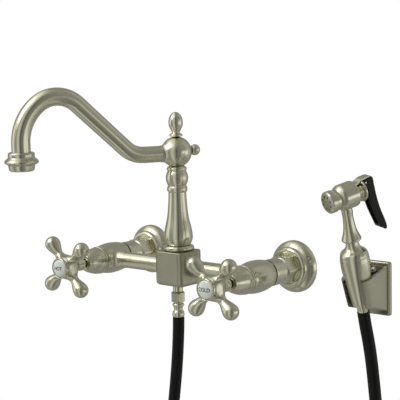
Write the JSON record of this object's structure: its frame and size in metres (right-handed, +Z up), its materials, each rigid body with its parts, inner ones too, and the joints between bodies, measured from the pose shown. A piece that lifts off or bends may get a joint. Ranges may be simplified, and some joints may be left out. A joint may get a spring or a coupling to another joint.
{
  "type": "wall-mounted bridge kitchen faucet with side sprayer",
  "caption": "Wall-mounted bridge kitchen faucet with cross handles, a swivelling goose-neck spout and a lever side sprayer on a hose in a wall holder.",
  "frame": {"origin": "on the wall plane, midway between the two inlets and level with the bridge axis", "axes": "+X along the bridge from the hot valve to the cold valve, +Y into the wall, +Z up"},
  "size_m": [0.362, 0.2304, 0.6319],
  "materials": {
    "nickel": "satin brushed nickel plating on brass, warm grey",
    "steel": "plain stainless steel",
    "brass": "machined brass",
    "ceramic": "lapped ceramic valve disc",
    "porcelain": "glazed white porcelain",
    "seal": "black rubber seal",
    "hose": "black hose with a slight sheen",
    "lever": "glossy moulded black plastic",
    "screen": "grey moulded aerator insert"
  },
  "bodies": {
    "root": {"mixing_block": "nickel", "diverter_spring": "steel", "bridge_tube_hot": "nickel", "bridge_tube_cold": "nickel", "valve_body_hot": "nickel", "valve_body_cold": "nickel", "bonnet_hot": "nickel", "bonnet_cold": "nickel", "cartridge_hot": "brass", "cartridge_cold": "brass", "fixed_disc_hot": "ceramic", "fixed_disc_cold": "ceramic", "body_gasket_hot": "seal", "body_gasket_cold": "seal", "inlet_tail_hot": "nickel", "inlet_tail_cold": "nickel", "union_nut_hot": "nickel", "union_nut_cold": "nickel", "wall_flange_hot": "nickel", "wall_flange_cold": "nickel", "column_base_ring": "nickel", "hose_nipple": "nickel", "hose_nut": "nickel", "hose_ferrule": "nickel", "hose": "hose", "sprayer_holder": "nickel", "holder_screw_upper": "steel", "holder_screw_lower": "steel"},
    "hot_handle": {"stem_hot": "nickel", "moving_disc_hot": "ceramic", "cross_handle_hot": "nickel", "handle_screw_hot": "steel", "index_button_hot": "porcelain"},
    "cold_handle": {"stem_cold": "nickel", "moving_disc_cold": "ceramic", "cross_handle_cold": "nickel", "handle_screw_cold": "steel", "index_button_cold": "porcelain"},
    "spout": {"column": "nickel", "column_o_ring": "seal", "spout_hub": "nickel", "finial": "nickel", "spout_clamp_screw": "nickel", "spout_tube": "nickel", "aerator_shell": "nickel", "aerator_washer": "seal", "aerator_screen": "screen"},
    "diverter": {"diverter_spool": "brass"},
    "sprayer_hose_end": {"sprayer_ferrule": "nickel"},
    "sprayer": {"sprayer_grip": "nickel", "sprayer_neck": "nickel", "sprayer_barrel": "nickel", "spray_face": "nickel", "sprayer_rear_cap": "nickel", "plunger_spring": "steel"},
    "lever": {"sprayer_lever": "lever", "lever_pin": "steel"},
    "plunger": {"sprayer_plunger": "brass"}
  },
  "joints": [
    {"name": "hot_turn", "type": "hinge", "parent": "root", "child": "hot_handle", "pos_m": [-0.1016, -0.0711, 0], "axis": [0, -1, 0], "range_deg": [0, 90]},
    {"name": "cold_turn", "type": "hinge", "parent": "root", "child": "cold_handle", "pos_m": [0.1016, -0.0711, 0], "axis": [0, 1, 0], "range_deg": [0, 90]},
    {"name": "spout_swivel", "type": "hinge", "parent": "root", "child": "spout", "pos_m": [0, -0.0711, 0], "axis": [0, 0, 1], "range_deg": [-69, 131]},
    {"name": "diverter_lift", "type": "slide", "parent": "root", "child": "diverter", "axis": [0, 0, 1], "range_m": [0, 0.003], "stiffness_N_per_m": 200, "springref_m": -0.002, "deforming": ["diverter_spring"]},
    {"name": "sprayer_lift", "type": "slide", "parent": "root", "child": "sprayer_hose_end", "axis": [0, -0.2588, 0.9659], "range_m": [0, 0.12]},
    {"name": "sprayer_turn", "type": "hinge", "parent": "sprayer_hose_end", "child": "sprayer", "pos_m": [0.2016, -0.0328, 0], "axis": [0, -0.2588, 0.9659], "range_deg": [-60, 60]},
    {"name": "lever_squeeze", "type": "hinge", "parent": "sprayer", "child": "lever", "pos_m": [0.21029, -0.03741, 0.10032], "axis": [-0.9272, 0.3618, 0.097], "range_deg": [0, 10], "stiffness_Nm_per_rad": 0.5, "springref_deg": -8.59},
    {"name": "plunger_slide", "type": "slide", "parent": "sprayer", "child": "plunger", "axis": [-0.3746, -0.8956, -0.24], "range_m": [0, 0.002], "deforming": ["plunger_spring"]}
  ],
  "couplings": [
    {"joint": "plunger_slide", "follows": "lever_squeeze", "m_per_rad": 0.0085}
  ]
}
